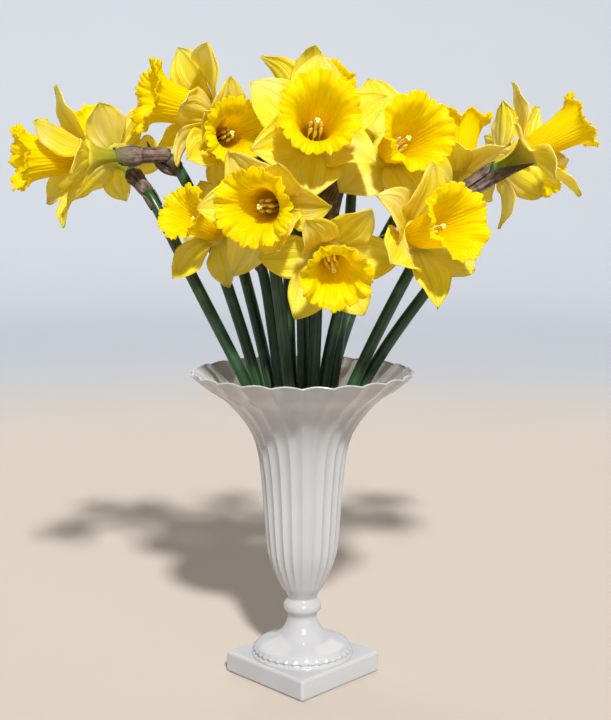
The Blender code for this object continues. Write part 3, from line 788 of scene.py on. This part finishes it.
def bulge(share, blunt):
    """Radius of a small rounded body, a share of the way from end to end."""
    return ANTHER_RADIUS * math.sqrt(max(1 - (2 * share - 1) ** 2, blunt))


def stamen(flower, k, mat):
    """Filament against the throat's wall, with its anther."""
    angle = math.radians(60 * k + flower.roll + flower.chance.uniform(-8, 8))
    reach = flower.chance.uniform(0.0, 0.0015)
    line = ((-0.012, 0.0022), (0.0, 0.0036), (0.0085 + reach, 0.0034))
    thread = [(flower.at(r, angle, z), FILAMENT_RADIUS * flower.size) for z, r in smooth_rows(line, 4)]
    anther = []
    for share in spread(0.0, 1.0, 10):
        z = 0.0065 + reach + 0.0095 * share
        place = flower.at(0.0036 - 0.0006 * share, angle + 0.1 * share, z)
        anther.append((place, bulge(share, 0.004) * flower.size))
    return [rod(f"filament_{k}", thread, mat, 8), rod(f"anther_{k}", anther, mat, 12)]


def style(flower, mat):
    """Style down the middle, a little bent."""
    line = ((-0.012, 0.0008), (0.004, 0.0008), (0.014, 0.0008), (0.0225, 0.0007), (0.0240, 0.0010))
    path = [(flower.at(0.0005, 0.7 * k, z), r * flower.size) for k, (z, r) in enumerate(line)]
    return rod("style", path, mat, 12)


def stigma_lobe(flower, k, mat):
    """One of the three lobes that end the style."""
    angle = math.radians(120 * k + flower.roll)
    lobe = []
    for share in spread(0.0, 1.0, 6):
        place = flower.at(0.0002 + 0.0014 * share, angle, 0.0242 + 0.0004 * share)
        lobe.append((place, bulge(share, 0.01) * flower.size))
    return rod(f"stigma_{k}", lobe, mat, 10)


def make_stamens(flower, mat):
    """Six stamens, and a style that ends in a three-lobed stigma."""
    pieces = []
    for k in range(6):
        pieces.extend(stamen(flower, k, mat))
    pieces.append(style(flower, mat))
    pieces.extend(stigma_lobe(flower, k, mat) for k in range(3))
    stamens = join(flower.name + "_stamens_fine", pieces)
    belongs(stamens, flower.name + "_corona")


# ---- stem and spathe ------------------------------------------------------------------------
def throat_seat(cell):
    """Where a stem stands in the throat, on a triangular lattice."""
    i, j = cell
    return Vector((STEM_PITCH * (i + j / 2), STEM_PITCH * j * math.sqrt(3) / 2, THROAT_HEIGHT))


def stem_foot(cell):
    """Height of a stem's cut end: the further out, the higher the bowl's wall stops it."""
    reach = throat_seat(cell).xy.length / STEM_PITCH
    if reach < MIDDLE_REACH:
        return INNER_FOOT
    return MIDDLE_FOOT if reach < OUTER_REACH else OUTER_FOOT


def stem_path(flower):
    """Centreline from the cut end to the ovary's top, as (point, radius)."""
    seat = throat_seat(flower.cell)
    foot = Vector((seat.x, seat.y, stem_foot(flower.cell)))
    bend = flower.on_axis(-NECK)
    start, end = UP * (bend - seat).length * RISE_PULL, flower.axis * NECK_PULL
    path = [(seat.lerp(foot, x), STEM_RADIUS) for x in (1.0, 0.66, 0.33)]
    for u in spread(0.0, 1.0, STEM_STEPS):
        point = (seat * (2 * u**3 - 3 * u**2 + 1) + start * (u**3 - 2 * u**2 + u)
                 + bend * (3 * u**2 - 2 * u**3) + end * (u**3 - u**2))
        point += flower.bow * math.sin(math.pi * u) ** 2
        path.append((point, STEM_RADIUS * (1 + STEM_SWELL * math.sin(math.pi * u)) - STEM_TAPER * u**4))
    neck_end = [NECK_END] + smooth_rows(OVARY, 4)
    path.extend((flower.on_axis(z), r * flower.size) for z, r in neck_end)
    return path


def transported(points):
    """A side vector for each point of a path, carried along without twisting."""
    side = (points[1] - points[0]).orthogonal().normalized()
    sides = []
    for k in range(len(points)):
        along = (points[min(k + 1, len(points) - 1)] - points[max(k - 1, 0)]).normalized()
        side = (side - along * side.dot(along)).normalized()
        sides.append((side, along.cross(side), along))
    return sides


def make_stem(flower, mat):
    """Ribbed, slightly flattened scape with its neck and ovary."""
    path = stem_path(flower)
    frames = transported([p for p, r in path])
    rows = []
    last = len(path) - 1
    for k, ((centre, radius), (side, other, along)) in enumerate(zip(path, frames)):
        ribbed = 1 - smooth_step(0.78 * last, 0.86 * last, k)
        ring = []
        for j in range(STEM_SIDES):
            a = 2 * math.pi * j / STEM_SIDES
            twisted = a + 0.012 * k
            r = radius * (1 + ribbed * (0.045 * math.cos(2 * twisted) + 0.022 * math.cos(8 * twisted)))
            ring.append(centre + r * (math.cos(a) * side + math.sin(a) * other))
        rows.append(ring)
    stem = grid_piece(flower.name + "_stem_fine", rows, mat, closed=True, capped=True)
    belongs(stem, flower.name + "_stem")


def wrapped_neck(flower, path):
    """Points and radii of the neck and ovary under the sheath."""
    points = [p for p, r in path[SPATHE_START:]]
    radii = [r for p, r in path[SPATHE_START:]]
    if flower.number in SHEATHED:
        points.extend(flower.on_axis(z) for z, r in SHEATH_BEYOND)
        radii.extend(r * flower.size for z, r in SHEATH_BEYOND)
    return points, radii


def spathe_wrap(flower, v):
    """Half the angle that the sheath wraps, in radians, a share v along it."""
    if flower.number in SHEATHED:
        return math.radians(165 - 60 * smooth_step(0.8, 1.0, v))
    return math.radians(135 - 45 * smooth_step(0.0, 0.45, v) - 84 * smooth_step(0.55, 1.0, v))


def spathe_rows(flower, path):
    """Rows across the sheath: it wraps at its base, gapes along one side and ends in a point."""
    points, radii = wrapped_neck(flower, path)
    frames = transported(points)
    third = len(points) // 3
    outward = points[third] - (points[0] + points[2 * len(points) // 3]) / 2
    length = SPATHE_SHARE * (len(points) - 1)
    rows = []
    for k in range(int(length)):
        v = k / length
        _, _, along = frames[k]
        normal = (outward - along * outward.dot(along)).normalized()
        beside = along.cross(normal)
        wrap = spathe_wrap(flower, v)
        puff = 0.0006 + 0.0011 * math.sin(math.pi * min(1.15 * v, 1.0)) ** 1.5
        ring = []
        for x in spread(-1.0, 1.0, SPATHE_COLUMNS):
            a = wrap * x
            wrinkle = 0.00035 * math.sin(13 * a + 5 * v + flower.seed) * smooth_step(0.0, 0.2, v)
            crumple = 0.0006 * noise.noise(Vector((2.5 * a, 6 * v, flower.seed)))
            gape = 0.0006 * abs(x) ** 4 * smooth_step(0.1, 0.6, v)
            r = max(radii[k] + puff + wrinkle + crumple + gape, radii[k] + 0.0002)
            ring.append(points[k] + r * (math.cos(a) * normal + math.sin(a) * beside))
        rows.append(ring)
    return rows


def make_spathe(flower, mat):
    """Papery sheath round the neck, with its loose point where it has one."""
    path = stem_path(flower)
    name = flower.name + "_spathe_fine"
    pieces = [grid_piece(name, spathe_rows(flower, path), mat, around=(-1.0, 1.0))]
    root = path[LOOSE_START][0]
    pieces.extend(loose_point(root, Vector(tip), half, mat)
                  for number, tip, half in LOOSE if number == flower.number)
    sheath = thicken(join(name, pieces), SPATHE_THICKNESS)
    belongs(sheath, flower.name + "_spathe")


def loose_point(root, tip, half, mat):
    """Part of a spathe that stands free of the neck: a crumpled, pointed, boat-shaped blade."""
    along = (tip - root).normalized()
    side = along.cross(Vector((0.0, 1.0, 0.0))).normalized()
    front = side.cross(along)
    rows = []
    for v in spread(0.0, 1.0, 24):
        width = half * (0.35 + 0.65 * smooth_step(0.0, 0.35, v)) * (1 - v ** 2.4) + 0.0002
        centre = root.lerp(tip, v) + side * (0.004 * math.sin(math.pi * v))
        ring = []
        for x in spread(-1.0, 1.0, 20):
            crumple = noise.noise(Vector((2 * x, 5 * v, half * 900)))
            wrinkle = 0.0005 * math.sin(9 * x + 4 * v) + 0.0012 * crumple
            ring.append(centre + side * (width * x) + front * (width * 0.6 * x * x + wrinkle))
        rows.append(ring)
    return grid_piece("loose", rows, mat, around=(-1.0, 1.0))


# ---- studio ---------------------------------------------------------------------------------
def floor_material():
    """Warm pale floor, turning into a cool pale wall that glows a little on its unlit side too."""
    mat, tree, bsdf = start_material("floor")
    here = object_place(tree)
    grain = noise_at(tree, here, 3.0, 2.0)
    table = mix(tree, grain, colour(0.48, 0.42, 0.365), colour(0.51, 0.45, 0.395))
    wall = mix(tree, grain, colour(0.37, 0.395, 0.44), colour(0.39, 0.415, 0.46))
    away = node(tree, "VectorMath", {"operation": "LENGTH"})
    put(tree, away.inputs[0], here)
    far = away.outputs["Value"]
    glow = between(tree, far, FLOOR_REACH, GLOW_FULL)
    wall = mix(tree, part_of(tree, glow, WALL_DIMMING), wall, colour(0.0, 0.0, 0.0))
    put(tree, bsdf.inputs["Base Color"], mix(tree, between(tree, far, *TONE_CHANGE), table, wall))
    bsdf.inputs["Emission Color"].default_value = colour(0.90, 0.95, 1.0)
    put(tree, bsdf.inputs["Emission Strength"], part_of(tree, glow, WALL_GLOW))
    bsdf.inputs["Roughness"].default_value = 0.7
    bsdf.inputs["Specular IOR Level"].default_value = 0.2
    return mat


def make_floor():
    """Pale floor that sweeps up into a wall far behind the object, alike on all sides."""
    profile = [(0.001, 0.0), (1.0, 0.0), (FLOOR_REACH, 0.0)]
    for turn in spread(0.0, math.pi / 2, 16)[1:]:
        profile.append((FLOOR_REACH + SWEEP * math.sin(turn), SWEEP * (1 - math.cos(turn))))
    profile.append((FLOOR_REACH + SWEEP, WALL_HEIGHT))
    turns = [2 * math.pi * k / FLOOR_SIDES for k in range(FLOOR_SIDES)]
    rows = [[Vector((r * math.cos(a), r * math.sin(a), z)) for a in turns] for r, z in profile]
    grid_piece("floor", rows, floor_material(), closed=True)


def add_sun(name, energy, softness, tint, azimuth, rise):
    """Sun that shines from this azimuth (0 is the front, 90 the right side) and rise, in degrees."""
    sun = bpy.data.lights.new(name, "SUN")
    sun.energy = energy
    sun.angle = math.radians(softness)
    sun.color = tint
    turn, up = math.radians(azimuth), math.radians(rise)
    level = math.cos(up)
    toward = Vector((math.sin(turn) * level, -math.cos(turn) * level, math.sin(up)))
    lamp = bpy.data.objects.new(name, sun)
    lamp.location = toward * 2.5
    lamp.rotation_euler = (-toward).to_track_quat("-Z", "Y").to_euler()
    bpy.context.scene.collection.objects.link(lamp)


def make_light():
    """A soft-edged key from the front right, a broad fill from behind and a dim pale surround."""
    scene = bpy.context.scene
    scene.view_settings.view_transform = "Standard"
    for name, energy, softness, tint, azimuth, rise in SUNS:
        add_sun(name, energy, softness, tint, azimuth, rise)
    world = bpy.data.worlds.new("surround")
    world.use_nodes = True
    back = world.node_tree.nodes["Background"]
    back.inputs["Color"].default_value = colour(*SURROUND)
    back.inputs["Strength"].default_value = SURROUND_STRENGTH
    scene.world = world


def make_camera():
    """Camera in front, level with the lower flowers and looking a little down."""
    data = bpy.data.cameras.new("camera")
    data.lens = LENS
    data.sensor_width = SENSOR
    data.clip_end = 50.0
    eye = bpy.data.objects.new("camera", data)
    eye.location = CAMERA_PLACE
    eye.rotation_euler = (math.radians(90 - CAMERA_DIP), 0.0, 0.0)
    bpy.context.scene.collection.objects.link(eye)
    bpy.context.scene.camera = eye


def main():
    make_camera()
    make_vase(glaze_material())
    water = bpy.data.objects["water"]
    water.material_slots[0].material = water_material()
    green = stem_material()
    papery = spathe_material()
    pale = tepal_material()
    deep = corona_material()
    cream = anther_material()
    for number, row in enumerate(LAYOUT, start=1):
        flower = Flower(number, row)
        make_stem(flower, green)
        make_spathe(flower, papery)
        make_tube(flower, pale)
        make_tepals(flower, pale)
        make_corona(flower, deep)
        make_stamens(flower, cream)
    make_floor()
    make_light()


main()
